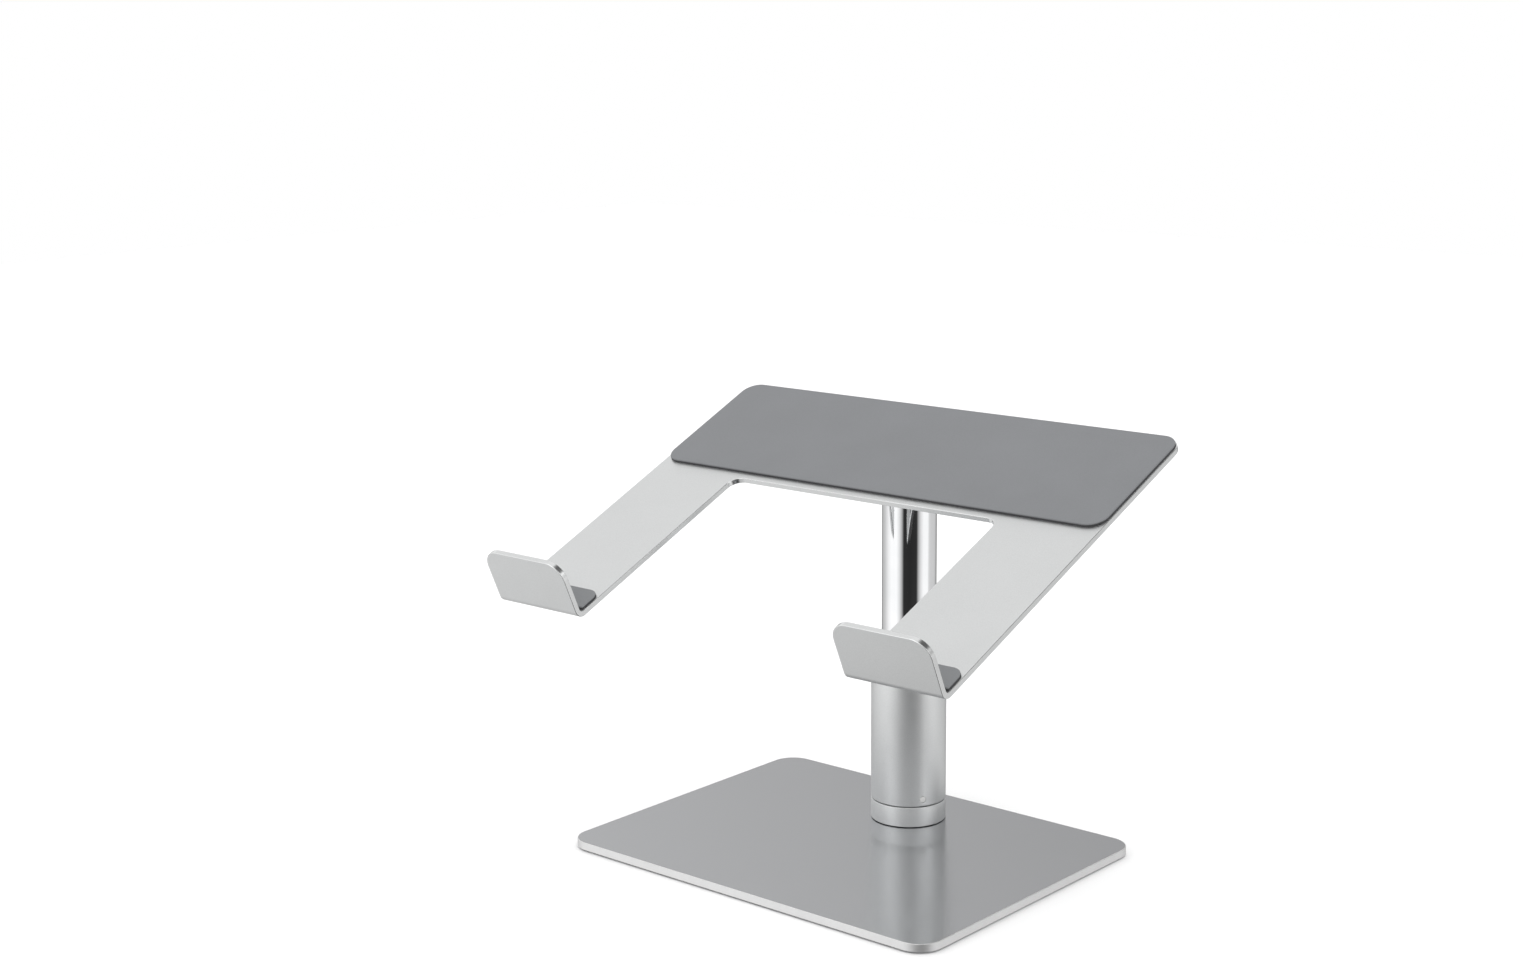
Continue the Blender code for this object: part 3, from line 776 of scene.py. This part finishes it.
def tone_round_studio(studio, off):
    """Tone at eye level, by the angle from the dark flag."""
    turn = studio.math("MULTIPLY_ADD", off, 0.5 / math.pi, 0.5)
    return studio.ramp(turn, [(angle / 360 + 0.5, tone) for angle, tone in ROUND_TONES])


def tone_by_height(studio):
    """Tone away from eye level, darker to the right in the upper half."""
    height = studio.math("MULTIPLY_ADD", studio.z, 0.5, 0.5)
    tone = studio.ramp(height, [(reach / 2 + 0.5, tone) for reach, tone in HEIGHT_TONES])
    sideways = studio.dot((math.cos(CAMERA_YAW), math.sin(CAMERA_YAW), 0))
    reach, left_gain, right_gain = LEFT_TO_RIGHT_FALL
    fall = studio.step(sideways, -reach, reach)
    gain = studio.math("MULTIPLY_ADD", fall, right_gain - left_gain, left_gain)
    gain = studio.mix(studio.window(studio.z, *FALL_HEIGHT), 1.0, gain)
    return studio.math("MULTIPLY", tone, gain)


def add_panels(studio, spread, tone):
    """Bright panels above eye level, strongest at the sides."""
    ahead = studio.math("SUBTRACT", 1.0, studio.step(spread, *FRONT_PANEL_END))
    panel = studio.math("MULTIPLY", ahead, studio.window(studio.z, *SIDE_PANEL_HEIGHT))
    panel_tone = studio.mix(studio.step(spread, *SIDE_PANEL_START), FRONT_PANEL_TONE, SIDE_PANEL_TONE)
    return studio.mix(panel, tone, panel_tone)


def add_round_flags(studio, tone):
    for direction, flag_tone, full, end in ROUND_FLAGS:
        inner, outer = math.cos(math.radians(full)), math.cos(math.radians(end))
        tone = studio.mix(studio.step(studio.dot(direction), outer, inner), tone, flag_tone)
    return tone


def build_world():
    """White studio: what metals reflect is bright at the sides, with a dark flag in front."""
    studio = Studio("studio")
    bpy.context.scene.world = studio.world
    azimuth = studio.math("ARCTAN2", studio.y, studio.x)
    turned = studio.math("SUBTRACT", azimuth, CAMERA_YAW - math.pi / 2)
    off = studio.math("WRAP", turned, math.pi, -math.pi)
    spread = studio.math("MULTIPLY", studio.math("ABSOLUTE", off), 180 / math.pi)
    upward = add_panels(studio, spread, tone_by_height(studio))

    in_front = studio.math("SUBTRACT", 1.0, studio.step(spread, *FRONT_FLAG_END))
    front_height = studio.window(studio.z, *FRONT_FLAG_HEIGHT)
    level_height = studio.window(studio.z, *EYE_LEVEL_HEIGHT)
    eye_level = studio.mix(in_front, level_height, front_height)
    tone = add_round_flags(studio, studio.mix(eye_level, upward, tone_round_studio(studio, off)))

    rays = studio.tree.nodes.new("ShaderNodeLightPath")
    tone = studio.mix(rays.outputs["Is Diffuse Ray"], tone, DIFFUSE_LIGHT)
    tone = studio.mix(rays.outputs["Is Camera Ray"], tone, BACKDROP_LIGHT)
    studio.link(tone, studio.background.inputs["Strength"])


def build_camera():
    data = bpy.data.cameras.new("camera")
    data.sensor_width = 36
    data.sensor_fit = "HORIZONTAL"
    data.lens = CAMERA_LENS
    data.clip_start = 0.01
    camera = bpy.data.objects.new("camera", data)
    bpy.context.scene.collection.objects.link(camera)
    turn = Matrix.Rotation(CAMERA_YAW, 4, "Z") @ Matrix.Rotation(math.pi / 2 - CAMERA_PITCH, 4, "X")
    turn = turn @ Matrix.Rotation(-CAMERA_ROLL, 4, "Z")
    camera.matrix_world = Matrix.Translation(CAMERA_PLACE) @ turn
    bpy.context.scene.camera = camera


def main():
    materials = make_materials()
    build_base(materials)
    build_collar(materials)
    build_column(materials)
    build_dot(materials)
    build_inner_tube(materials)
    build_flange(materials)
    build_hub(materials)
    build_tray(materials)
    build_pads(materials)
    finish_cad_nodes(materials)
    build_floor()
    build_world()
    build_light()
    build_camera()
    bpy.context.scene.view_settings.view_transform = "Standard"


main()
